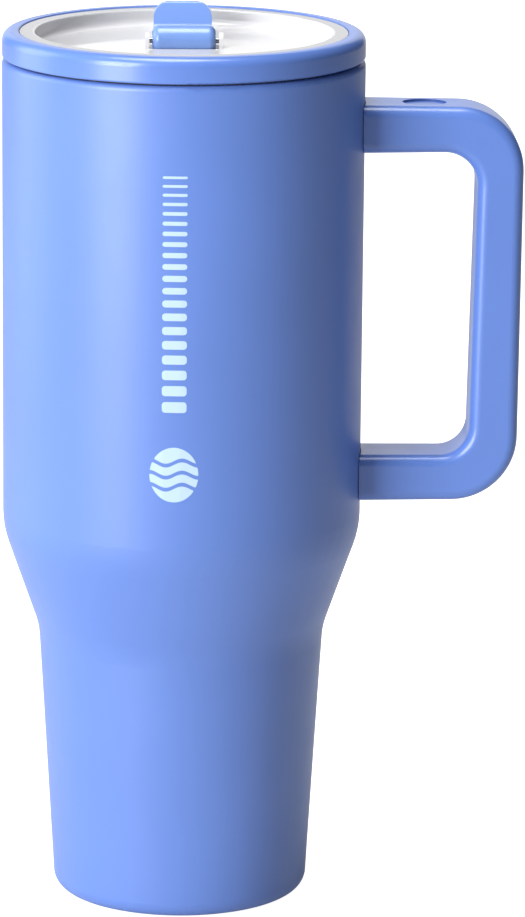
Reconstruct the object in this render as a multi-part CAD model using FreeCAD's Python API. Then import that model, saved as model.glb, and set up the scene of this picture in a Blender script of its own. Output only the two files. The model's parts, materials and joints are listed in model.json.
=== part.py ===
"""Insulated travel tumbler with a screw lid, a flip spout, a straw and a side handle.

Frame: millimetres, +Z up.  The origin is the centre of the base, on the axis of
the cup.  The handle points along +X and the folded spout along +Y.
"""
import FreeCAD, Part
import math
import os

from FreeCAD import Placement, Rotation, Vector

os.makedirs("parts", exist_ok=True)

# ---- driving dimensions: cup -------------------------------------------------
SEAM_Z = 240.8            # underside of the lid collar
LIP_GAP = 0.5             # dark line between the cup's lip and the collar
LIP_Z = SEAM_Z - LIP_GAP
SHELL_WALL = 0.8
LINER_WALL = 0.6
VACUUM_GAP = 2.2
BASE_CORNER_R = 4.5
BASE_OPENING_R = 30.0     # hole inside the rolled base ring
FOOT_R = 36.0             # radius the tapered foot would have at the floor
FOOT_TAPER = 0.0583       # growth of the radius per millimetre of height
CONE_LOW_Z = 77.5
CONE_TOP_Z = 106.5
BARREL_LOW_R = 50.7
BARREL_TOP_R = 50.8
CONE_LOW_FILLET = 22.0
CONE_TOP_FILLET = 27.0
LIP_EDGE_R = 1.7
LINER_FLOOR_Z = 7.0       # inside floor of the cup
LINER_FLOOR_R = 5.0
LINER_CONE_R = 47.45      # outside of the liner at the top of its cone
NECK_R = 47.6             # bore that takes the lid
NECK_DEPTH = 18.0
NECK_STEP = 2.0           # height of the sloped ledge below the neck
LIP_MEET_R = 49.1         # where shell and liner are welded along the lip

# ---- driving dimensions: base ------------------------------------------------
BASE_DISC_LOW = 2.2
BASE_DISC_THICK = 0.8
BASE_DISC_R = 31.5
SEAL_HOLE_R = 1.0
BEAD_R = 2.0
BEAD_DEPTH = 0.7
BEAD_CLEARANCE = 0.4      # room round the bead in the pad's pocket
PAD_R = 26.5
PAD_EDGE_R = 0.5
GETTER_X = 16.0
GETTER_R = 5.0
GETTER_HOLE_R = 3.0

# ---- driving dimensions: screw thread ----------------------------------------
THREAD_STARTS = 4
THREAD_PITCH = 4.0        # spacing of neighbouring ridges along the axis
THREAD_LEAD = THREAD_STARTS * THREAD_PITCH
RIDGE_ARC = 75.0          # degrees each ridge runs round
RIDGE_ROOT = 2.4          # width of a ridge at its root and at its crest
RIDGE_CREST = 1.3
NECK_CREST_R = 46.4
PLUG_R = 45.8
PLUG_CREST_R = 47.2
RIDGE_EMBED = 0.3         # how far a ridge's root runs into its wall
NECK_RIDGE_Z = SEAM_Z - 10.2   # centre of a neck ridge where it begins

# ---- driving dimensions: lid -------------------------------------------------
COLLAR_R = 50.75
COLLAR_HEIGHT = 7.2
COLLAR_BORE_R = 46.0
COLLAR_WALL = 2.35
COLLAR_EDGE_R = 2.7
COLLAR_LIP_EDGE_R = 0.5
RING_Z = 6.9              # top of the clear ring above the seam
RING_THICK = 1.6
DISH_R = 41.5
DISH_FILLET = 2.0
DISH_WALL = 1.8
DISH_Z = 2.5              # top of the clear dish floor above the seam
DISH_THICK = 1.8
PLUG_WALL = 2.2
PLUG_DEPTH = 13.5
PLUG_FLOOR = 1.8
GASKET_DEPTH = 3.6
GASKET_FLAP = 0.4         # how far the gasket reaches out over the cup's lip
GASKET_SIDE_GAP = 0.3     # clearances to the neck and to the lip
GASKET_LIP_GAP = 0.25
FIT = 0.05                # gap between pieces that are pressed or welded

# ---- driving dimensions: spout -----------------------------------------------
HINGE_Z = SEAM_Z + 4.3
BARREL_R = 4.3
BARREL_HALF = 8.8
BARREL_END_R = 2.0
ARM_HALF = 8.25
ARM_END_Y = 27.0
ARM_BOTTOM = 0.2          # heights above the seam, spout folded
ARM_TOP_NEAR = 7.2
ARM_TOP_FAR = 4.5
TAB_TOP = 11.5
TAB_THICK = 2.1
TAB_CORNER_R = 4.6
TAB_FOOT_R = 2.0
SPOUT_BORE_R = 1.3        # drinking channel through barrel and arm
ELBOW_REACH = 6.8         # from the hinge to the bend in that channel
ELBOW_ANGLE = 2.0
NOZZLE_Z = 2.0            # height of the channel's mouth above the seam
SOCKET_R = 4.6
SEAL_IN_R = 4.4
SEAL_OUT_R = 5.3
SOCKET_OUT_R = 6.3
RELIEF_R = 6.7            # slot under the arm that clears the socket's rear lip
RELIEF_END = -15.0
PIN_R = 0.8
PIN_CLEARANCE = 0.05
PIN_IN_X = 7.2
PIN_OUT_X = 10.5
EAR_IN_X = 9.7
EAR_OUT_X = 10.9
EAR_TOP = 6.7
EAR_HALF_TOP = 2.4
EAR_HALF_FOOT = 3.2
EAR_R = 2.2
TROUGH_HALF = 8.6
TROUGH_END_Y = 29.5
TROUGH_FLOOR = -0.3
TROUGH_WALL = 1.4
SEAL_HALF = 4.6
SEAL_START = -140.0       # the seal's ends, in degrees about the hinge
SEAL_END = -22.0
PORT_ANGLE = -42.0        # where the open spout meets the seal
PORT_R = 1.7

# ---- driving dimensions: spigot, straw connector and vent --------------------
CONNECTOR_R = 5.6
CONNECTOR_DROP = 3.5      # how far the connector hangs below the lid's plug
SPIGOT_R = 7.5
SPIGOT_BORE_R = 4.4
SPIGOT_LOW = -8.0         # heights above the seam
SPIGOT_BORE_TOP = -4.5
CHANNEL_R = 2.2
CHANNEL_Y = 3.4
VENT_Y = -25.0
VENT_R = 1.5
VALVE_R = 3.6

# ---- driving dimensions: straw -----------------------------------------------
STRAW_R = 4.0
STRAW_BORE_R = 3.3
STRAW_LOW_Z = 10.0
STRAW_TOP_Z = SEAM_Z - 9.0
STRAW_CLEARANCE = 0.15

# ---- driving dimensions: handle ----------------------------------------------
HANDLE_TOP_Z = SEAM_Z - 12.8   # outer faces of the two bars, over their screws
HANDLE_LOW_Z = SEAM_Z - 125.6
HANDLE_OUT_X = 95.2
TOP_BAR = 13.2
LOW_BAR = 13.1
BAR_TAPER = 0.011         # how fast a bar thins from the cup to the grip, each face
GRIP_TOP = 12.8           # width of the grip at its top and at its bottom
GRIP_LOW = 13.7
GRIP_LEAN = 0.7           # the grip's foot stands this much nearer the cup
HANDLE_HALF_DEPTH = 9.8
HANDLE_TOP_FILLET = 18.2
HANDLE_LOW_FILLET = 18.6
HANDLE_IN_TOP_FILLET = 9.4
HANDLE_IN_LOW_FILLET = 8.3
HANDLE_EDGE_R = 3.0
HANDLE_GAP = 0.15         # joint line between the handle and the cup
SCREW_X = 67.4
SCREW_R = 2.0
SCREW_HEAD_R = 3.4
SCREW_HEAD_H = 1.4
SCREW_DRIVE_R = 1.3
BRACKET_TONGUE_X = 72.0
BRACKET_HALF_Y = 5.0
BRACKET_HALF_Z = 2.0
SADDLE_THICK = 1.5
SADDLE_HALF_Y = 5.0
SADDLE_HALF_Z = 3.6
PLUG_OVAL_X = 12.4
PLUG_OVAL_Y = 10.4
PLUG_OVAL_THICK = 1.6
PLUG_OVAL_SINK = 0.6      # the plug sits a little below the handle's face


# ---- small helpers -----------------------------------------------------------
def arc_corner(before, corner, after, radius):
    """Tangent points and middle point of a fillet at a corner of an outline."""
    to_before = (before - corner).normalize()
    to_after = (after - corner).normalize()
    half_angle = to_before.getAngle(to_after) / 2
    reach = radius / math.tan(half_angle)
    bisector = (to_before + to_after).normalize()
    centre = corner + bisector * (radius / math.sin(half_angle))
    start = corner + to_before * reach
    end = corner + to_after * reach
    middle = centre - bisector * radius
    return start, middle, end


def outline(points):
    """Closed face from (a, b) or (a, b, fillet) points, drawn in the XZ plane."""
    corners = [Vector(p[0], 0, p[1]) for p in points]
    radii = [p[2] if len(p) > 2 else 0 for p in points]
    edges = []
    stops = []
    count = len(points)
    for i in range(count):
        if radii[i]:
            stops.append(arc_corner(corners[i - 1], corners[i], corners[(i + 1) % count], radii[i]))
        else:
            stops.append((corners[i], None, corners[i]))
    for i in range(count):
        start, middle, end = stops[i]
        if middle is not None:
            edges.append(Part.Arc(start, middle, end).toShape())
        next_start = stops[(i + 1) % count][0]
        if (next_start - end).Length > 1e-6:
            edges.append(Part.LineSegment(end, next_start).toShape())
    return Part.Face(Part.Wire(edges))


def turned(points):
    """Solid of revolution about the cup's axis from (radius, height) points."""
    return outline(points).revolve(Vector(0, 0, 0), Vector(0, 0, 1), 360)


def disc(radius, low, high, x=0, y=0):
    return Part.makeCylinder(radius, high - low, Vector(x, y, low))


def tube(outer, inner, low, high, x=0):
    return disc(outer, low, high, x).cut(disc(inner, low, high, x))


def block(x0, x1, y0, y1, z0, z1):
    return Part.makeBox(x1 - x0, y1 - y0, z1 - z0, Vector(x0, y0, z0))


def across(radius, half_width):
    """Cylinder along X, centred on the spout's hinge."""
    return Part.makeCylinder(radius, 2 * half_width, Vector(-half_width, 0, HINGE_Z),
                             Vector(1, 0, 0))


def along_hinge(radius, start, length, side):
    """Cylinder on the hinge axis, from start outwards on the +X (1) or -X (-1) side."""
    return Part.makeCylinder(radius, length, Vector(side * start, 0, HINGE_Z),
                             Vector(side, 0, 0))


def upright(start, end, radius):
    """Disc on the axis of the handle screws, between two heights in either order."""
    return disc(radius, min(start, end), max(start, end), SCREW_X)


def hinge_sector(inner, outer, half_width, start_deg, end_deg):
    """Part of a ring about the hinge axis; angles run from +Y towards +Z."""
    def at(radius, angle):
        turn = math.radians(angle)
        return Vector(-half_width, radius * math.cos(turn), HINGE_Z + radius * math.sin(turn))
    middle = (start_deg + end_deg) / 2
    edges = [
        Part.Arc(at(outer, start_deg), at(outer, middle), at(outer, end_deg)).toShape(),
        Part.LineSegment(at(outer, end_deg), at(inner, end_deg)).toShape(),
        Part.Arc(at(inner, end_deg), at(inner, middle), at(inner, start_deg)).toShape(),
        Part.LineSegment(at(inner, start_deg), at(outer, start_deg)).toShape(),
    ]
    return Part.Face(Part.Wire(edges)).extrude(Vector(2 * half_width, 0, 0))


def save(shape, name):
    """Write one piece, joined faces cleaned up, as its own STEP file."""
    clean = shape.removeSplitter()
    if not clean.isValid():
        raise ValueError(name + " is not a valid solid")
    clean.exportStep("parts/" + name + ".step")
    print(f"{name:22s} solids {len(clean.Solids)}  volume {clean.Volume / 1000:8.2f} cm3")


# ---- cup ---------------------------------------------------------------------
def foot_radius(z):
    return FOOT_R + FOOT_TAPER * z


def body_outline(inset, top_z, low_r=BARREL_LOW_R):
    """Foot, cone and barrel of the cup, moved inwards by inset, from low to high."""
    cone_fillet = CONE_LOW_FILLET + inset
    shoulder_fillet = CONE_TOP_FILLET - inset
    return [
        (foot_radius(CONE_LOW_Z) - inset, CONE_LOW_Z, cone_fillet),
        (low_r - inset, CONE_TOP_Z, shoulder_fillet),
        (BARREL_TOP_R - inset, top_z),
    ]


def outer_shell():
    outside = body_outline(0, LIP_Z)
    outside[-1] = (BARREL_TOP_R, LIP_Z, LIP_EDGE_R)
    inside = body_outline(SHELL_WALL, LIP_Z - SHELL_WALL)
    inside[-1] = (*inside[-1], LIP_EDGE_R - SHELL_WALL)
    points = [
        (BASE_OPENING_R, SHELL_WALL),
        (BASE_OPENING_R, 0),
        (FOOT_R, 0, BASE_CORNER_R),
        *outside,
        (LIP_MEET_R, LIP_Z),
        (LIP_MEET_R, LIP_Z - SHELL_WALL),
        *reversed(inside),
        (FOOT_R - SHELL_WALL, SHELL_WALL, BASE_CORNER_R - SHELL_WALL),
    ]
    return turned(points)


def thread_ridges(root_r, crest_r, start_z):
    """One ridge per start: a helical sweep that grows from root_r to crest_r."""
    mean_r = (root_r + crest_r) / 2
    height = THREAD_LEAD * RIDGE_ARC / 360
    helix = Part.makeHelix(THREAD_LEAD, height, mean_r)
    profile = Part.makePolygon([
        Vector(root_r, 0, -RIDGE_ROOT / 2),
        Vector(root_r, 0, RIDGE_ROOT / 2),
        Vector(crest_r, 0, RIDGE_CREST / 2),
        Vector(crest_r, 0, -RIDGE_CREST / 2),
        Vector(root_r, 0, -RIDGE_ROOT / 2),
    ])
    ridge = Part.Wire(helix.Edges).makePipeShell([profile], True, True)
    ridges = []
    for start in range(THREAD_STARTS):
        turn = Rotation(Vector(0, 0, 1), 360 * start / THREAD_STARTS)
        one = ridge.copy()
        one.Placement = Placement(Vector(0, 0, start_z), turn)
        ridges.append(one)
    return ridges


def inner_liner():
    skin = SHELL_WALL + VACUUM_GAP
    neck_out_r = NECK_R + LINER_WALL
    neck_low_z = SEAM_Z - NECK_DEPTH
    step_z = neck_low_z - NECK_STEP
    outside = body_outline(skin, step_z, LINER_CONE_R + skin)
    inside = body_outline(skin + LINER_WALL, step_z, LINER_CONE_R + skin)
    floor_out_z = LINER_FLOOR_Z - LINER_WALL
    points = [
        (0, floor_out_z),
        (foot_radius(floor_out_z) - skin, floor_out_z, LINER_FLOOR_R),
        *outside,
        (neck_out_r, neck_low_z),
        (neck_out_r, LIP_Z - LINER_WALL, 0.5),
        (LIP_MEET_R, LIP_Z - LINER_WALL),
        (LIP_MEET_R, LIP_Z),
        (NECK_R, LIP_Z, 1.1),
        (NECK_R, neck_low_z),
        *reversed(inside),
        (foot_radius(LINER_FLOOR_Z) - skin - LINER_WALL, LINER_FLOOR_Z,
         LINER_FLOOR_R - LINER_WALL),
        (0, LINER_FLOOR_Z),
    ]
    ridges = thread_ridges(NECK_R + RIDGE_EMBED, NECK_CREST_R, NECK_RIDGE_Z)
    return turned(points).fuse(ridges)


def base_disc():
    """Pressed pan that closes the vacuum space, with its pump-out hole."""
    slope_out_r = BASE_OPENING_R - 1
    slope_in_r = BASE_OPENING_R - 2
    bend_r = 1.0
    pan = turned([
        (0, BASE_DISC_LOW),
        (slope_in_r, BASE_DISC_LOW, bend_r),
        (slope_out_r, SHELL_WALL, bend_r),
        (BASE_DISC_R, SHELL_WALL),
        (BASE_DISC_R, SHELL_WALL + BASE_DISC_THICK),
        (slope_out_r + BASE_DISC_THICK, SHELL_WALL + BASE_DISC_THICK, bend_r),
        (slope_in_r + BASE_DISC_THICK, BASE_DISC_LOW + BASE_DISC_THICK, bend_r),
        (0, BASE_DISC_LOW + BASE_DISC_THICK),
    ])
    return pan.cut(disc(SEAL_HOLE_R, BASE_DISC_LOW, BASE_DISC_LOW + BASE_DISC_THICK))


def vacuum_seal():
    """Bead of sealing glass that plugs the pump-out hole."""
    return turned([
        (0, BASE_DISC_LOW - BEAD_DEPTH),
        (BEAD_R, BASE_DISC_LOW - BEAD_DEPTH, 0.5),
        (BEAD_R, BASE_DISC_LOW),
        (SEAL_HOLE_R, BASE_DISC_LOW),
        (SEAL_HOLE_R, BASE_DISC_LOW + BASE_DISC_THICK),
        (0, BASE_DISC_LOW + BASE_DISC_THICK),
    ])


def base_pad():
    """Soft non-slip disc under the pan, level with the rolled ring it stands in."""
    pocket_r = BEAD_R + BEAD_CLEARANCE
    pocket_low = BASE_DISC_LOW - BEAD_DEPTH - BEAD_CLEARANCE / 2
    return turned([
        (0, 0),
        (PAD_R, 0, PAD_EDGE_R),
        (PAD_R, BASE_DISC_LOW),
        (pocket_r, BASE_DISC_LOW),
        (pocket_r, pocket_low),
        (0, pocket_low),
    ])


def vacuum_getter():
    """Gas-absorbing pellet under the liner, in the vacuum space."""
    return tube(GETTER_R, GETTER_HOLE_R, BASE_DISC_LOW + BASE_DISC_THICK,
                LINER_FLOOR_Z - LINER_WALL, GETTER_X)


# ---- handle ------------------------------------------------------------------
UPPER_BAR_Z = HANDLE_TOP_Z - TOP_BAR / 2
LOWER_BAR_Z = HANDLE_LOW_Z + LOW_BAR / 2
BAR_SIDES = ((UPPER_BAR_Z, 1), (LOWER_BAR_Z, -1))


def cup_surface_r(z):
    """Outside radius of the straight barrel of the cup."""
    along = (z - CONE_TOP_Z) / (LIP_Z - CONE_TOP_Z)
    return BARREL_LOW_R + (BARREL_TOP_R - BARREL_LOW_R) * along


def barrel_cone(extra):
    """The cup's barrel as a solid, grown by extra, over the handle's height."""
    low = HANDLE_LOW_Z - 5
    high = HANDLE_TOP_Z + 5
    return Part.makeCone(cup_surface_r(low) + extra, cup_surface_r(high) + extra,
                         high - low, Vector(0, 0, low))


def oval(length_x, length_y, seat, face):
    """Upright oval prism over a handle screw, from its seat to its outer face."""
    ellipse = Part.Ellipse(Vector(SCREW_X, 0, seat), length_x / 2, length_y / 2)
    return Part.Face(Part.Wire(ellipse.toShape())).extrude(Vector(0, 0, face - seat))


def plug_heights(side):
    """Seat and outer face of the oval plug in the upper (+1) or lower (-1) bar."""
    bar_face = HANDLE_TOP_Z if side > 0 else HANDLE_LOW_Z
    plug_face = bar_face - side * PLUG_OVAL_SINK
    return plug_face - side * PLUG_OVAL_THICK, plug_face


def grip_loop():
    """Solid D-shaped bar, before it is fitted to the cup."""
    root_x = BARREL_LOW_R - 6
    foot_x = HANDLE_OUT_X - GRIP_LEAN
    root_taper = BAR_TAPER * (SCREW_X - root_x)
    tip_taper = BAR_TAPER * (SCREW_X - HANDLE_OUT_X)
    under_top = HANDLE_TOP_Z - TOP_BAR
    points = [
        (root_x, HANDLE_LOW_Z - root_taper),
        (foot_x, HANDLE_LOW_Z - tip_taper, HANDLE_LOW_FILLET),
        (HANDLE_OUT_X, HANDLE_TOP_Z + tip_taper, HANDLE_TOP_FILLET),
        (root_x, HANDLE_TOP_Z + root_taper),
        (root_x, under_top - root_taper),
        (HANDLE_OUT_X - GRIP_TOP, under_top - tip_taper, HANDLE_IN_TOP_FILLET),
        (foot_x - GRIP_LOW, HANDLE_LOW_Z + LOW_BAR, HANDLE_IN_LOW_FILLET),
        (root_x, HANDLE_LOW_Z + LOW_BAR),
    ]
    plate = outline(points)
    plate.translate(Vector(0, -HANDLE_HALF_DEPTH, 0))
    bar = plate.extrude(Vector(0, 2 * HANDLE_HALF_DEPTH, 0))
    long_edges = []
    for edge in bar.Edges:
        box = edge.BoundBox
        flat_in_y = box.YLength < 1e-6
        past_root = box.XMax > root_x + 1
        if flat_in_y and past_root:
            long_edges.append(edge)
    return bar.makeFillet(HANDLE_EDGE_R, long_edges)


def handle():
    body = grip_loop().cut(barrel_cone(HANDLE_GAP))
    for bar_z, side in BAR_SIDES:
        tongue_x = BRACKET_TONGUE_X + FIT
        half_y = BRACKET_HALF_Y + FIT
        half_z = BRACKET_HALF_Z + FIT
        body = body.cut(block(0, tongue_x, -half_y, half_y, bar_z - half_z, bar_z + half_z))
        saddle_r = SADDLE_THICK + FIT
        saddle_room = barrel_cone(saddle_r).common(
            block(0, BARREL_TOP_R + 5, -SADDLE_HALF_Y - FIT, SADDLE_HALF_Y + FIT,
                  bar_z - SADDLE_HALF_Z - FIT, bar_z + SADDLE_HALF_Z + FIT))
        body = body.cut(saddle_room)
        seat, plug_face = plug_heights(side)
        mouth = oval(PLUG_OVAL_X, PLUG_OVAL_Y, seat, plug_face + side * (PLUG_OVAL_SINK + 1))
        head = upright(seat, seat - side * SCREW_HEAD_H, SCREW_HEAD_R)
        shank = upright(seat, bar_z, SCREW_R)
        body = body.cut(mouth).cut(head).cut(shank)
    return body


def handle_bracket(bar_z):
    """Steel saddle welded to the cup with a tongue that fills the bar's pocket."""
    saddle = barrel_cone(SADDLE_THICK).cut(barrel_cone(0)).common(
        block(0, BARREL_TOP_R + 5, -SADDLE_HALF_Y, SADDLE_HALF_Y,
              bar_z - SADDLE_HALF_Z, bar_z + SADDLE_HALF_Z))
    tongue = block(BARREL_LOW_R - 5, BRACKET_TONGUE_X, -BRACKET_HALF_Y, BRACKET_HALF_Y,
                   bar_z - BRACKET_HALF_Z, bar_z + BRACKET_HALF_Z).cut(barrel_cone(0))
    hole = disc(SCREW_R, bar_z - BRACKET_HALF_Z, bar_z + BRACKET_HALF_Z, SCREW_X)
    return saddle.fuse(tongue).cut(hole)


def handle_screws():
    """One screw in each bar, driven from the outside into the bracket's tongue."""
    screws = []
    for bar_z, side in BAR_SIDES:
        seat, _ = plug_heights(side)
        under_head = seat - side * SCREW_HEAD_H
        tip = bar_z - side * BRACKET_HALF_Z
        head = upright(seat, under_head, SCREW_HEAD_R)
        shank = upright(tip, under_head, SCREW_R)
        drive = upright(seat, seat - side * SCREW_HEAD_H * 0.6, SCREW_DRIVE_R)
        screws.append(head.fuse(shank).cut(drive))
    return Part.makeCompound(screws)


def screw_plug(side):
    """Oval cover over a handle screw, with a softened outer edge."""
    seat, plug_face = plug_heights(side)
    plug = oval(PLUG_OVAL_X - 2 * FIT, PLUG_OVAL_Y - 2 * FIT, seat, plug_face)
    rim = [edge for edge in plug.Edges if abs(edge.BoundBox.ZMin - plug_face) < 1e-6
           and edge.BoundBox.ZLength < 1e-6]
    return plug.makeFillet(0.3, rim)


# ---- lid ---------------------------------------------------------------------
def above_seam(points):
    """Turn outline heights given above the seam into heights above the floor."""
    return [(p[0], p[1] + SEAM_Z, *p[2:]) for p in points]


def lid_collar():
    """Coloured bezel: outer wall and top rim over the plug's flange."""
    return turned(above_seam([
        (COLLAR_R - COLLAR_WALL, 0),
        (COLLAR_R, 0, COLLAR_LIP_EDGE_R),
        (COLLAR_R, COLLAR_HEIGHT, COLLAR_EDGE_R),
        (COLLAR_BORE_R, COLLAR_HEIGHT, COLLAR_LIP_EDGE_R),
        (COLLAR_BORE_R, RING_Z - RING_THICK),
        (COLLAR_R - COLLAR_WALL, RING_Z - RING_THICK),
    ]))


def threaded_plug():
    """Translucent cup of the lid: flange, threaded wall and floor."""
    top = RING_Z - RING_THICK
    bore_r = PLUG_R - PLUG_WALL
    flange_r = COLLAR_R - COLLAR_WALL - FIT
    body = turned(above_seam([
        (CONNECTOR_R, -PLUG_DEPTH),
        (PLUG_R, -PLUG_DEPTH, 1.0),
        (PLUG_R, 0),
        (flange_r, 0),
        (flange_r, top),
        (bore_r, top),
        (bore_r, -PLUG_DEPTH + PLUG_FLOOR, 1.0),
        (CONNECTOR_R, -PLUG_DEPTH + PLUG_FLOOR),
    ]))
    vent = disc(VENT_R, SEAM_Z - PLUG_DEPTH, SEAM_Z - PLUG_DEPTH + PLUG_FLOOR, 0, VENT_Y)
    ridge_z = NECK_RIDGE_Z - THREAD_PITCH / 2
    ridges = thread_ridges(PLUG_R - RIDGE_EMBED, PLUG_CREST_R, ridge_z)
    return body.fuse(ridges).cut(vent)


def lid_gasket():
    """Soft ring on the plug under the collar, with a flap over the cup's lip."""
    side_r = NECK_R - GASKET_SIDE_GAP
    flap_r = LIP_MEET_R + GASKET_FLAP
    return turned(above_seam([
        (PLUG_R + FIT, -GASKET_DEPTH),
        (side_r, -GASKET_DEPTH, 0.4),
        (side_r, -GASKET_LIP_GAP),
        (flap_r, -GASKET_LIP_GAP),
        (flap_r, -FIT),
        (PLUG_R + FIT, -FIT),
    ]))


def radial_bore(radius, angle, reach):
    """Cylinder from the hinge axis outwards at an angle from +Y towards +Z."""
    turn = math.radians(angle)
    direction = Vector(0, math.cos(turn), math.sin(turn))
    return Part.makeCylinder(radius, reach, Vector(0, 0, HINGE_Z), direction)


def hinge_ear(start_x):
    """Round-topped lug on the dish that holds one end of the spout's hinge."""
    face = outline(above_seam([
        (-EAR_HALF_FOOT, DISH_Z - DISH_THICK / 2),
        (EAR_HALF_FOOT, DISH_Z - DISH_THICK / 2),
        (EAR_HALF_TOP, EAR_TOP, EAR_R),
        (-EAR_HALF_TOP, EAR_TOP, EAR_R),
    ]))
    face.rotate(Vector(0, 0, 0), Vector(0, 0, 1), 90)
    face.translate(Vector(start_x, 0, 0))
    return face.extrude(Vector(EAR_OUT_X - EAR_IN_X, 0, 0))


def lid_top():
    """Clear top: ring, dish, hinge ears, trough for the spout and its socket."""
    skirt_r = COLLAR_BORE_R - FIT
    dish = turned(above_seam([
        (0, DISH_Z - DISH_THICK),
        (DISH_R + DISH_WALL, DISH_Z - DISH_THICK, 1.0),
        (DISH_R + DISH_WALL, RING_Z - RING_THICK),
        (skirt_r, RING_Z - RING_THICK),
        (skirt_r, RING_Z, 0.4),
        (DISH_R, RING_Z, 0.5),
        (DISH_R, DISH_Z, DISH_FILLET),
        (0, DISH_Z),
    ]))
    pan = block(-EAR_OUT_X, EAR_OUT_X,
                -SOCKET_R - TROUGH_WALL, TROUGH_END_Y + TROUGH_WALL,
                SEAM_Z + TROUGH_FLOOR - TROUGH_WALL, SEAM_Z + DISH_Z)
    corners = [edge for edge in pan.Edges if edge.BoundBox.ZLength > 1]
    pan = pan.makeFillet(TROUGH_WALL - 0.1, corners)
    spigot = disc(SPIGOT_R, SEAM_Z + SPIGOT_LOW, SEAM_Z + TROUGH_FLOOR)
    body = dish.fuse([pan, spigot, hinge_ear(-EAR_OUT_X), hinge_ear(EAR_IN_X)])

    arm_room = block(-TROUGH_HALF, TROUGH_HALF, 0, TROUGH_END_Y,
                     SEAM_Z + TROUGH_FLOOR, SEAM_Z + TAB_TOP)
    barrel_room = across(SOCKET_R, EAR_IN_X)
    body = body.cut(arm_room).cut(barrel_room)
    rear_lip = hinge_sector(SEAL_OUT_R, SOCKET_OUT_R, TROUGH_HALF, -100, SEAL_END)
    body = body.fuse(rear_lip)
    seal_seat = hinge_sector(SOCKET_R - 1, SEAL_OUT_R + FIT, SEAL_HALF + FIT,
                             SEAL_START, SEAL_END + 2)
    body = body.cut(seal_seat)

    port = radial_bore(PORT_R, PORT_ANGLE, SOCKET_OUT_R + 0.5)
    socket_top = SEAM_Z + SPIGOT_BORE_TOP
    feed = disc(CHANNEL_R, socket_top - 0.5, SEAM_Z + TROUGH_FLOOR - 0.5, 0, CHANNEL_Y)
    link = block(-CHANNEL_R, CHANNEL_R, 0, CHANNEL_Y, socket_top - 0.5, socket_top + 1.6)
    socket = disc(SPIGOT_BORE_R, SEAM_Z + SPIGOT_LOW, socket_top)
    drop = disc(PORT_R, socket_top + 0.5, SEAM_Z + 0.6, 0, CHANNEL_Y + 0.2)
    body = body.cut(port).cut(feed).cut(link).cut(socket).cut(drop)
    for side in (-1, 1):
        body = body.cut(along_hinge(PIN_R, EAR_IN_X, PIN_OUT_X - EAR_IN_X, side))
    vent = disc(VENT_R, SEAM_Z + DISH_Z - DISH_THICK, SEAM_Z + DISH_Z, 0, VENT_Y)
    return body.cut(vent)


def spout_seal():
    """Soft saddle under the spout's barrel, with the port the water comes through."""
    saddle = hinge_sector(SEAL_IN_R, SEAL_OUT_R, SEAL_HALF, SEAL_START, SEAL_END)
    return saddle.cut(radial_bore(PORT_R, PORT_ANGLE, SOCKET_OUT_R + 1))


def straw_connector():
    """Soft sleeve that joins the straw to the lid's spigot."""
    low = SEAM_Z - PLUG_DEPTH - CONNECTOR_DROP
    shoulder = SEAM_Z + SPIGOT_LOW - FIT
    top = SEAM_Z + SPIGOT_BORE_TOP - 0.7
    straw_stop = STRAW_TOP_Z + 0.4
    return turned([
        (STRAW_R + STRAW_CLEARANCE, low),
        (CONNECTOR_R - FIT, low, 0.5),
        (CONNECTOR_R - FIT, shoulder),
        (SPIGOT_BORE_R - FIT, shoulder),
        (SPIGOT_BORE_R - FIT, top),
        (STRAW_BORE_R, top),
        (STRAW_BORE_R, straw_stop),
        (STRAW_R + STRAW_CLEARANCE, straw_stop),
    ])


def vent_valve():
    """Umbrella valve that lets air into the cup as it empties."""
    barb_r = VENT_R + 0.6
    stem_r = VENT_R - 0.2
    barb_top = DISH_Z - DISH_THICK - 0.1
    under_cap = DISH_Z + FIT
    return turned(above_seam([
        (0, barb_top - 1.1),
        (barb_r, barb_top - 1.1, 0.3),
        (barb_r, barb_top),
        (stem_r, barb_top),
        (stem_r, under_cap),
        (VALVE_R, under_cap),
        (VALVE_R, under_cap + 0.45),
        (0, under_cap + 1.05),
    ])).translated(Vector(0, VENT_Y, 0))


def hinge_pin(side):
    return along_hinge(PIN_R, PIN_IN_X, PIN_OUT_X - PIN_IN_X, side)


# ---- spout -------------------------------------------------------------------
def spout_side():
    """Side outline of the arm and the raised thumb tab, folded, in the YZ plane."""
    tab_tip_y = ARM_END_Y + 0.4
    tab_edge_r = TAB_THICK * 0.48
    points = above_seam([
        (0, ARM_BOTTOM),
        (ARM_END_Y, ARM_BOTTOM, 1.2),
        (tab_tip_y, TAB_TOP, tab_edge_r),
        (tab_tip_y - TAB_THICK, TAB_TOP, tab_edge_r),
        (ARM_END_Y - 2.5 * TAB_THICK, ARM_TOP_FAR, TAB_FOOT_R),
        (1.5, ARM_TOP_NEAR),
        (0, ARM_TOP_NEAR),
    ])
    face = outline(points)
    face.rotate(Vector(0, 0, 0), Vector(0, 0, 1), 90)
    return face


def round_tab(arm):
    """Cut the tab's two upper corners round, as seen along the spout."""
    face = outline([
        (-ARM_HALF, SEAM_Z - 2),
        (ARM_HALF, SEAM_Z - 2),
        (ARM_HALF, SEAM_Z + TAB_TOP, TAB_CORNER_R),
        (-ARM_HALF, SEAM_Z + TAB_TOP, TAB_CORNER_R),
    ])
    return arm.common(face.extrude(Vector(0, ARM_END_Y + 5, 0)))


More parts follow.
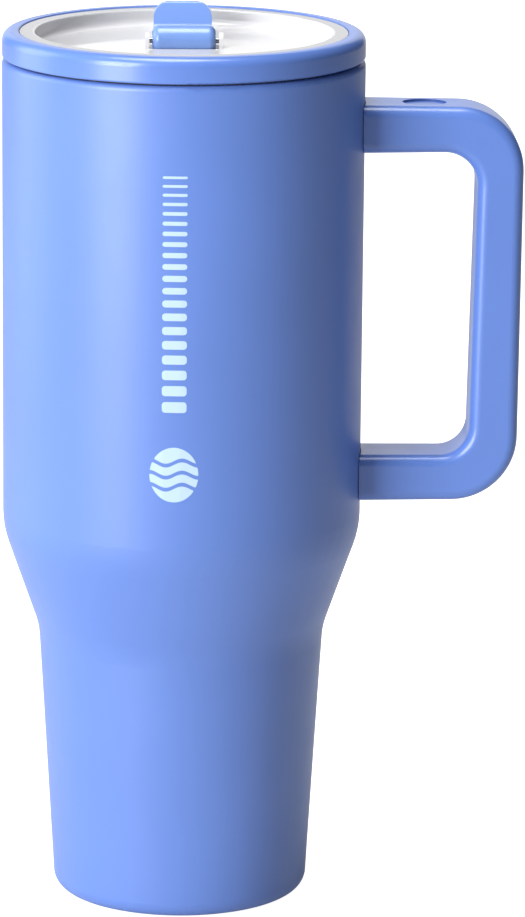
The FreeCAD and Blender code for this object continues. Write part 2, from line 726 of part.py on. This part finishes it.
def spout():
    """Barrel, arm and thumb tab in one piece, with the drinking channel bored through."""
    profile = spout_side()
    profile.translate(Vector(-ARM_HALF, 0, 0))
    arm = round_tab(profile.extrude(Vector(2 * ARM_HALF, 0, 0)))
    relief = hinge_sector(0.5, RELIEF_R, ARM_HALF + 1, -95, RELIEF_END)
    arm = arm.cut(relief)
    barrel = across(BARREL_R, BARREL_HALF)
    ends = [edge for edge in barrel.Edges if edge.BoundBox.XLength < 1e-6]
    barrel = barrel.makeFillet(BARREL_END_R, ends)
    body = arm.fuse(barrel)

    hub = Vector(0, 0, HINGE_Z)
    turn = math.radians(ELBOW_ANGLE)
    elbow = hub + Vector(0, math.cos(turn), math.sin(turn)) * ELBOW_REACH
    mouth = Vector(0, ARM_END_Y + 1, SEAM_Z + NOZZLE_Z)
    inlet_angle = PORT_ANGLE - 90     # the inlet reaches the port once the spout is open
    channel = [
        radial_bore(SPOUT_BORE_R, inlet_angle, BARREL_R + 1),
        Part.makeSphere(SPOUT_BORE_R, hub),
        radial_bore(SPOUT_BORE_R, ELBOW_ANGLE, ELBOW_REACH),
        Part.makeSphere(SPOUT_BORE_R, elbow),
        Part.makeCylinder(SPOUT_BORE_R, (mouth - elbow).Length, elbow, mouth - elbow),
    ]
    for bore in channel:
        body = body.cut(bore)
    room_x = PIN_IN_X - 0.2
    for side in (-1, 1):
        pin_room = along_hinge(PIN_R + PIN_CLEARANCE, room_x, BARREL_HALF - room_x, side)
        body = body.cut(pin_room)
    return body


# ---- straw -------------------------------------------------------------------
def straw():
    return tube(STRAW_R, STRAW_BORE_R, STRAW_LOW_Z, STRAW_TOP_Z)


# ---- write every piece -------------------------------------------------------
save(outer_shell(), "outer_shell")
save(inner_liner(), "inner_liner")
save(base_disc(), "base_disc")
save(vacuum_seal(), "vacuum_seal")
save(vacuum_getter(), "vacuum_getter")
save(base_pad(), "base_pad")
save(handle(), "handle")
save(handle_bracket(UPPER_BAR_Z), "handle_bracket_upper")
save(handle_bracket(LOWER_BAR_Z), "handle_bracket_lower")
save(handle_screws(), "handle_screws")
save(screw_plug(1), "screw_plug_upper")
save(screw_plug(-1), "screw_plug_lower")
save(straw(), "straw")
save(lid_collar(), "lid_collar")
save(lid_top(), "lid_top")
save(threaded_plug(), "threaded_plug")
save(lid_gasket(), "lid_gasket")
save(spout_seal(), "spout_seal")
save(straw_connector(), "straw_connector")
save(vent_valve(), "vent_valve")
save(hinge_pin(-1), "hinge_pin_left")
save(hinge_pin(1), "hinge_pin_right")
save(spout(), "spout")
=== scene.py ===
"""Looks of the insulated tumbler: materials, printed marks, floor, light and camera."""
import json
import math

import bpy
from mathutils import Matrix, Vector
from mathutils.bvhtree import BVHTree


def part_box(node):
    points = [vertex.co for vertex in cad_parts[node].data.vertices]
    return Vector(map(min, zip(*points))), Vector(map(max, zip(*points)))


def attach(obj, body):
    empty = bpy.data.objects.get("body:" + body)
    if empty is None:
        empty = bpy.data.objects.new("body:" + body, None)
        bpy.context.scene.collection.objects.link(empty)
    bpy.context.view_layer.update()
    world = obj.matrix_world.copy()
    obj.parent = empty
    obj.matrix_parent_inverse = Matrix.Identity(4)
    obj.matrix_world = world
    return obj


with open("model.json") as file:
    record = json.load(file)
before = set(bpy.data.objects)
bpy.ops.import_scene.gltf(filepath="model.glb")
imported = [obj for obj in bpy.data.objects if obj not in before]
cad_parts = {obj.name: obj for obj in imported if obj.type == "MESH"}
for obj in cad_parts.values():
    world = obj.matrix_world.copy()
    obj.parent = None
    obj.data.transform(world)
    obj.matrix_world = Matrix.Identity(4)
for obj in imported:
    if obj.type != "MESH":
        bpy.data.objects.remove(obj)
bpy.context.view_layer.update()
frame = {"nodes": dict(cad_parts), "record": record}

NODES = frame["nodes"]
MM = 0.001

# ---- places read from the frame ---------------------------------------------
SEAM_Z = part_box("lid_collar")[0].z
RING_WIDTH = 4 * MM                # clear ring round the lid's dish
DISH_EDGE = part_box("lid_top")[1].y - RING_WIDTH


# ---- materials ---------------------------------------------------------------
def seen_or_cast(tree, socket, seen, cast):
    """Give a strength one value where the camera sees it and another for what it lights."""
    path = tree.nodes.new("ShaderNodeLightPath")
    span = tree.nodes.new("ShaderNodeMapRange")
    span.inputs["To Min"].default_value = cast
    span.inputs["To Max"].default_value = seen
    tree.links.new(path.outputs["Is Camera Ray"], span.inputs["Value"])
    tree.links.new(span.outputs["Result"], socket)


class Paint:
    """A node material: one Principled shader and the few nodes that feed it."""

    def __init__(self, name, colour, roughness, **sockets):
        self.material = bpy.data.materials.new(name)
        self.material.use_nodes = True
        self.nodes = self.material.node_tree.nodes
        self.links = self.material.node_tree.links
        self.shader = self.nodes["Principled BSDF"]
        self.shader.inputs["Base Color"].default_value = (*colour, 1.0)
        self.shader.inputs["Roughness"].default_value = roughness
        for socket, value in sockets.items():
            self.shader.inputs[socket.replace("_", " ")].default_value = value
        self.colour = colour
        self.last_normal = None

    def noise(self, grain, detail=2.0, stretch=(1.0, 1.0, 1.0)):
        """Noise in the object's own space; grain is the size of one speck in metres."""
        where = self.nodes.new("ShaderNodeTexCoord")
        mapping = self.nodes.new("ShaderNodeMapping")
        mapping.inputs["Scale"].default_value = stretch
        texture = self.nodes.new("ShaderNodeTexNoise")
        texture.inputs["Scale"].default_value = 1.0 / grain
        texture.inputs["Detail"].default_value = detail
        self.links.new(where.outputs["Object"], mapping.inputs["Vector"])
        self.links.new(mapping.outputs["Vector"], texture.inputs["Vector"])
        return texture.outputs["Fac"]

    def tint(self, factor, low, high):
        """Base colour wanders between low and high times its own value."""
        ramp = self.nodes.new("ShaderNodeValToRGB")
        for stop, gain in zip(ramp.color_ramp.elements, (low, high)):
            stop.color = (*[min(1.0, gain * c) for c in self.colour], 1.0)
        ramp.color_ramp.elements[0].position = 0.35
        ramp.color_ramp.elements[1].position = 0.65
        self.links.new(factor, ramp.inputs["Fac"])
        self.links.new(ramp.outputs["Color"], self.shader.inputs["Base Color"])

    def shade_beyond_radius(self, edge, shade_colour):
        """Painted shade: another, darker base colour further than edge from the object's own Z axis.
        """
        half_blend = 0.5 * MM
        where = self.nodes.new("ShaderNodeTexCoord")
        flat = self.nodes.new("ShaderNodeVectorMath")
        flat.operation = "MULTIPLY"
        flat.inputs[1].default_value = (1.0, 1.0, 0.0)
        reach = self.nodes.new("ShaderNodeVectorMath")
        reach.operation = "LENGTH"
        span = self.nodes.new("ShaderNodeMapRange")
        span.inputs["From Min"].default_value = edge - half_blend
        span.inputs["From Max"].default_value = edge + half_blend
        blend = self.nodes.new("ShaderNodeValToRGB")
        blend.color_ramp.elements[0].color = (*self.colour, 1.0)
        blend.color_ramp.elements[1].color = (*shade_colour, 1.0)
        self.links.new(where.outputs["Object"], flat.inputs[0])
        self.links.new(flat.outputs["Vector"], reach.inputs[0])
        self.links.new(reach.outputs["Value"], span.inputs["Value"])
        self.links.new(span.outputs["Result"], blend.inputs["Fac"])
        self.links.new(blend.outputs["Color"], self.shader.inputs["Base Color"])

    def glow(self, seen, cast):
        """White light of the surface's own."""
        self.shader.inputs["Emission Color"].default_value = (1.0, 1.0, 1.0, 1.0)
        seen_or_cast(self.material.node_tree, self.shader.inputs["Emission Strength"], seen, cast)

    def vary_roughness(self, factor, low, high):
        """Roughness wanders between low and high."""
        span = self.nodes.new("ShaderNodeMapRange")
        span.inputs["From Min"].default_value = 0.3
        span.inputs["From Max"].default_value = 0.7
        span.inputs["To Min"].default_value = low
        span.inputs["To Max"].default_value = high
        self.links.new(factor, span.inputs["Value"])
        self.links.new(span.outputs["Result"], self.shader.inputs["Roughness"])

    def bump(self, factor, depth):
        """Surface relief of a depth in metres; several calls stack."""
        relief = self.nodes.new("ShaderNodeBump")
        relief.inputs["Distance"].default_value = depth
        relief.inputs["Strength"].default_value = 1.0
        self.links.new(factor, relief.inputs["Height"])
        if self.last_normal is not None:
            self.links.new(self.last_normal, relief.inputs["Normal"])
        self.last_normal = relief.outputs["Normal"]
        self.links.new(self.last_normal, self.shader.inputs["Normal"])


BLUE = (0.100, 0.190, 0.530)
SPOUT_LIT_BLUE = (0.155, 0.270, 0.600)  # painted light: the spout gets a lighter copy of the collar's blue, for the light the white dish throws back on it


def powder_coat():
    paint = Paint("powder_coat", BLUE, 0.42, Specular_IOR_Level=0.5,
                  Coat_Weight=0.25, Coat_Roughness=0.30)
    paint.tint(paint.noise(60 * MM), 0.97, 1.03)
    paint.bump(paint.noise(0.55 * MM, detail=3), 0.010 * MM)
    paint.bump(paint.noise(2.6 * MM), 0.020 * MM)
    paint.vary_roughness(paint.noise(9 * MM), 0.39, 0.45)
    return paint.material


def blue_plastic(name, colour):
    paint = Paint(name, colour, 0.30, Specular_IOR_Level=0.5,
                  Coat_Weight=0.15, Coat_Roughness=0.15)
    paint.tint(paint.noise(25 * MM), 0.985, 1.015)
    paint.bump(paint.noise(0.5 * MM, detail=3), 0.002 * MM)
    paint.vary_roughness(paint.noise(12 * MM), 0.29, 0.31)
    return paint.material


def handle_plastic():
    paint = Paint("handle_plastic", BLUE, 0.33, Specular_IOR_Level=0.5,
                  Coat_Weight=0.2, Coat_Roughness=0.2)
    paint.tint(paint.noise(40 * MM), 0.98, 1.02)
    paint.bump(paint.noise(0.7 * MM, detail=3), 0.006 * MM)
    paint.vary_roughness(paint.noise(8 * MM), 0.31, 0.36)
    return paint.material


def bare_steel():
    paint = Paint("bare_steel", (0.62, 0.62, 0.61), 0.26, Metallic=1.0)
    lines = paint.noise(0.5 * MM, detail=3, stretch=(1.0, 1.0, 0.06))
    paint.tint(paint.noise(30 * MM), 0.95, 1.05)
    paint.bump(lines, 0.004 * MM)
    paint.vary_roughness(lines, 0.20, 0.34)
    return paint.material


def pin_steel():
    paint = Paint("pin_steel", (0.30, 0.31, 0.33), 0.22, Metallic=1.0)
    paint.vary_roughness(paint.noise(0.8 * MM), 0.16, 0.30)
    return paint.material


def clear_plastic():
    paint = Paint("clear_plastic", (0.76, 0.76, 0.775), 0.05, IOR=1.49,
                  Transmission_Weight=0.20)
    # painted shade: the clear ring outside DISH_EDGE is coloured darker grey than the dish, for the
    # shade of the blue collar under it
    paint.shade_beyond_radius(DISH_EDGE, (0.40, 0.405, 0.43))
    paint.bump(paint.noise(9 * MM), 0.006 * MM)
    paint.vary_roughness(paint.noise(5 * MM), 0.03, 0.07)
    return paint.material


def frosted_plastic():
    paint = Paint("frosted_plastic", (0.92, 0.925, 0.93), 0.38, IOR=1.49,
                  Transmission_Weight=0.15)
    paint.bump(paint.noise(0.6 * MM, detail=3), 0.008 * MM)
    paint.vary_roughness(paint.noise(7 * MM), 0.34, 0.44)
    return paint.material


def straw_plastic():
    paint = Paint("straw_plastic", (0.93, 0.94, 0.95), 0.12, IOR=1.49,
                  Transmission_Weight=0.8)
    paint.bump(paint.noise(4 * MM, stretch=(1.0, 1.0, 0.1)), 0.006 * MM)
    paint.vary_roughness(paint.noise(8 * MM), 0.10, 0.16)
    return paint.material


def silicone(name, colour):
    paint = Paint(name, colour, 0.55, Subsurface_Weight=0.2, Subsurface_Scale=0.8 * MM)
    paint.bump(paint.noise(0.5 * MM, detail=3), 0.006 * MM)
    paint.vary_roughness(paint.noise(5 * MM), 0.50, 0.62)
    return paint.material


def sealing_glass():
    paint = Paint("sealing_glass", (0.05, 0.05, 0.06), 0.15)
    paint.bump(paint.noise(0.8 * MM), 0.02 * MM)
    return paint.material


def getter_metal():
    paint = Paint("getter_metal", (0.45, 0.45, 0.46), 0.6, Metallic=0.8)
    paint.bump(paint.noise(0.3 * MM, detail=3), 0.02 * MM)
    return paint.material


def print_ink():
    paint = Paint("print_ink", (0.42, 0.56, 0.72), 0.45)
    paint.bump(paint.noise(0.3 * MM, detail=3), 0.004 * MM)
    paint.vary_roughness(paint.noise(3 * MM), 0.36, 0.46)
    return paint.material


MATERIALS = {
    "powder_coat": powder_coat(),
    "blue_plastic": blue_plastic("blue_plastic", BLUE),
    # painted light: spout_plastic is blue_plastic in a lighter blue, for the light the spout catches
    # from the white dish
    "spout_plastic": blue_plastic("spout_plastic", SPOUT_LIT_BLUE),
    "handle_plastic": handle_plastic(),
    "bare_steel": bare_steel(),
    "pin_steel": pin_steel(),
    "clear_plastic": clear_plastic(),
    "frosted_plastic": frosted_plastic(),
    "straw_plastic": straw_plastic(),
    "grey_silicone": silicone("grey_silicone", (0.09, 0.10, 0.12)),
    "white_silicone": silicone("white_silicone", (0.80, 0.81, 0.82)),
    "sealing_glass": sealing_glass(),
    "getter_metal": getter_metal(),
}


def paint_cad_nodes():
    """Every CAD node takes the finish that its slot in the record names."""
    for part in frame["record"]["subparts"]:
        mesh = NODES[part["node"]].data
        mesh.materials.clear()
        mesh.materials.append(MATERIALS[part["material_slot"]])
        for face in mesh.polygons:
            face.material_index = 0


# ---- printed marks: plain graded bars and a round badge of waves ---------------
MARK_TURN = math.radians(-93.4)    # middle of the marks, from +X towards +Y
MARK_LIFT = 0.05 * MM              # how far the ink stands off the coat
MARK_SINK = 0.10 * MM
BAR_COUNT = 20
BAR_HALF_WIDTH = 3.4 * MM
BAR_THIN = 0.7 * MM
BAR_BOLD = 3.0 * MM
BAR_TOP_DROP = 25.1 * MM           # first bar below the seam
BAR_GAP = 1.66 * MM
BAR_END_R = 0.9 * MM               # largest rounding of a bar's ends
BAR_GROWTH = 1.3                   # how the bars thicken: 1 would be evenly
BADGE_DROP = 108.3 * MM            # badge centre below the seam
BADGE_HALF_WIDTH = 6.75 * MM
BADGE_HALF_HEIGHT = 7.7 * MM
WAVE_COUNT = 3                     # open lines across the badge
WAVE_SPACING = 3.4 * MM
WAVE_HEIGHT = 0.75 * MM
WAVE_GAP = 0.55 * MM               # half width of an open line
WAVE_TURNS = 1.5                   # waves across the badge


class Skin:
    """Finds the coated surface of the cup in any direction at any height."""

    def __init__(self, node):
        mesh = NODES[node].data
        points = [v.co.copy() for v in mesh.vertices]
        faces = [tuple(p.vertices) for p in mesh.polygons]
        self.tree = BVHTree.FromPolygons(points, faces)
        self.reach = max(p.x for p in points) + 5 * MM

    def radius(self, turn, z):
        way = Vector((math.cos(turn), math.sin(turn), 0))
        start = way * self.reach + Vector((0, 0, z))
        hit = self.tree.ray_cast(start, -way)[0]
        return Vector((hit.x, hit.y)).length

    def point(self, across, z, lift):
        """Point at an arc length across from the middle of the marks."""
        nominal = self.radius(MARK_TURN, z)
        turn = MARK_TURN + across / nominal
        r = self.radius(turn, z) + lift
        return Vector((r * math.cos(turn), r * math.sin(turn), z))


def ink_band(skin, stations, vertices, faces):
    """Add one thin closed patch; a station is (across, upper z, lower z)."""
    first = len(vertices)
    for across, high, low in stations:
        vertices.append(skin.point(across, high, MARK_LIFT))
        vertices.append(skin.point(across, low, MARK_LIFT))
        vertices.append(skin.point(across, low, -MARK_SINK))
        vertices.append(skin.point(across, high, -MARK_SINK))
    for i in range(len(stations) - 1):
        here = first + 4 * i
        for side in range(4):
            other = (side + 1) % 4
            faces.append((here + side, here + other, here + 4 + other, here + 4 + side))
    last = len(vertices) - 4
    faces.append((first + 3, first + 2, first + 1, first))
    faces.append((last, last + 1, last + 2, last + 3))


def bar_stations(z, half_height):
    """A level bar with round ends."""
    steps = 24
    thinnest = 0.02 * MM
    end_r = min(half_height, BAR_END_R)
    stations = []
    for i in range(steps + 1):
        ease = -math.cos(math.pi * i / steps)
        across = ease * BAR_HALF_WIDTH
        over = max(0.0, abs(across) - (BAR_HALF_WIDTH - end_r))
        drop = end_r - math.sqrt(max(0.0, end_r ** 2 - over ** 2))
        half = max(half_height - drop, thinnest)
        stations.append((across, z + half, z - half))
    return stations


def wave(across, number):
    """Height of the middle of one open wave line above the middle of the badge."""
    offset = (number - (WAVE_COUNT - 1) / 2) * WAVE_SPACING
    return offset + WAVE_HEIGHT * math.sin(across / BADGE_HALF_WIDTH * WAVE_TURNS * math.pi)


def badge_stations(z, number):
    """Inked part of the upright oval badge between wave number - 1 and wave number."""
    steps = 48
    thinnest = 0.05 * MM
    stations = []
    for i in range(steps + 1):
        across = -BADGE_HALF_WIDTH * math.cos(math.pi * i / steps)
        edge = BADGE_HALF_HEIGHT * math.sqrt(max(0.0, 1 - (across / BADGE_HALF_WIDTH) ** 2))
        low = -edge if number == 0 else max(-edge, wave(across, number - 1) + WAVE_GAP)
        high = edge if number == WAVE_COUNT else min(edge, wave(across, number) - WAVE_GAP)
        if high - low > thinnest:
            stations.append((across, z + high, z + low))
    return stations


def mesh_piece(name, vertices, faces, material):
    mesh = bpy.data.meshes.new(name)
    mesh.from_pydata([tuple(v) for v in vertices], [], faces)
    mesh.validate()
    mesh.materials.append(material)
    piece = bpy.data.objects.new(name, mesh)
    bpy.context.scene.collection.objects.link(piece)
    return piece


def printed_marks():
    skin = Skin("outer_shell")
    ink = print_ink()

    vertices, faces = [], []
    z = SEAM_Z - BAR_TOP_DROP
    for i in range(BAR_COUNT):
        height = BAR_THIN + (BAR_BOLD - BAR_THIN) * (i / (BAR_COUNT - 1)) ** BAR_GROWTH
        ink_band(skin, bar_stations(z - height / 2, height / 2), vertices, faces)
        z -= height + BAR_GAP
    bars = mesh_piece("print_bars", vertices, faces, ink)

    vertices, faces = [], []
    for number in range(WAVE_COUNT + 1):
        stations = badge_stations(SEAM_Z - BADGE_DROP, number)
        ink_band(skin, stations, vertices, faces)
    badge = mesh_piece("print_badge", vertices, faces, ink)

    for piece in (bars, badge):
        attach(piece, "cup")


# ---- floor, light and camera ---------------------------------------------------
FLOOR_RADIUS = 12.0
FLOOR_STEPS = 64
FLOOR_SEEN = 1.0                   # strength of its white where the camera sees it
FLOOR_CAST = 0.18                  # strength of the light that it throws on the cup
SKY_SEEN = 1.0
SKY_CAST = 0.04
CAMERA_AT = Vector((0.0229, -1.5231, SEAM_Z + 0.2405))
CAMERA_PITCH = math.radians(13.146)
CAMERA_ROLL = math.radians(0.508)
CAMERA_TURN = math.radians(-1.8)   # about the cup's axis
CAMERA_LENS_MM = 216.4
CAMERA_FAR = 60.0


def floor():
    ring = [(FLOOR_RADIUS * math.cos(2 * math.pi * i / FLOOR_STEPS),
             FLOOR_RADIUS * math.sin(2 * math.pi * i / FLOOR_STEPS), 0.0)
            for i in range(FLOOR_STEPS)]
    paint = Paint("floor_paint", (0.50, 0.50, 0.50), 0.7)
    paint.glow(FLOOR_SEEN, FLOOR_CAST)
    paint.tint(paint.noise(400 * MM), 0.995, 1.005)
    ground = mesh_piece("floor", ring, [tuple(range(FLOOR_STEPS))], paint.material)


def soft_box(name, place, aim, width, height, power):
    """White area light turned towards a point; the camera doesn't see its panel."""
    lamp = bpy.data.lights.new(name, "AREA")
    lamp.shape = "RECTANGLE"
    lamp.size = width
    lamp.size_y = height
    lamp.energy = power
    holder = bpy.data.objects.new(name, lamp)
    holder.location = place
    holder.rotation_euler = (Vector(aim) - Vector(place)).to_track_quat("-Z", "Y").to_euler()
    holder.visible_camera = False
    bpy.context.scene.collection.objects.link(holder)


def lights():
    middle = (0, 0, SEAM_Z * 0.55)
    soft_box("key", (-1.12, -1.20, 0.55), middle, 0.75, 1.4, 48)
    soft_box("side", (-1.41, 0.51, 0.50), middle, 0.9, 1.4, 13)
    soft_box("top", (-0.15, -0.10, 1.8), middle, 0.9, 0.9, 29)
    soft_box("back", (0, 1.9, 0.70), middle, 1.6, 1.6, 8)
    world = bpy.data.worlds.new("studio")
    world.use_nodes = True
    sky = world.node_tree.nodes["Background"]
    sky.inputs["Color"].default_value = (1.0, 1.0, 1.0, 1.0)
    seen_or_cast(world.node_tree, sky.inputs["Strength"], SKY_SEEN, SKY_CAST)
    bpy.context.scene.world = world
    bpy.context.scene.view_settings.view_transform = "Standard"


def camera():
    lens = bpy.data.cameras.new("camera")
    lens.lens = CAMERA_LENS_MM
    lens.clip_end = CAMERA_FAR
    holder = bpy.data.objects.new("camera", lens)
    forward = Vector((0, math.cos(CAMERA_PITCH), -math.sin(CAMERA_PITCH)))
    level_right = Vector((1, 0, 0))
    level_up = level_right.cross(forward)
    right = level_right * math.cos(CAMERA_ROLL) + level_up * math.sin(CAMERA_ROLL)
    up = right.cross(forward)
    turn = Matrix((right, up, -forward)).transposed().to_4x4()
    holder.matrix_world = Matrix.Rotation(CAMERA_TURN, 4, "Z") @ Matrix.Translation(CAMERA_AT) @ turn
    bpy.context.scene.collection.objects.link(holder)
    bpy.context.scene.camera = holder


paint_cad_nodes()
printed_marks()
floor()
lights()
camera()
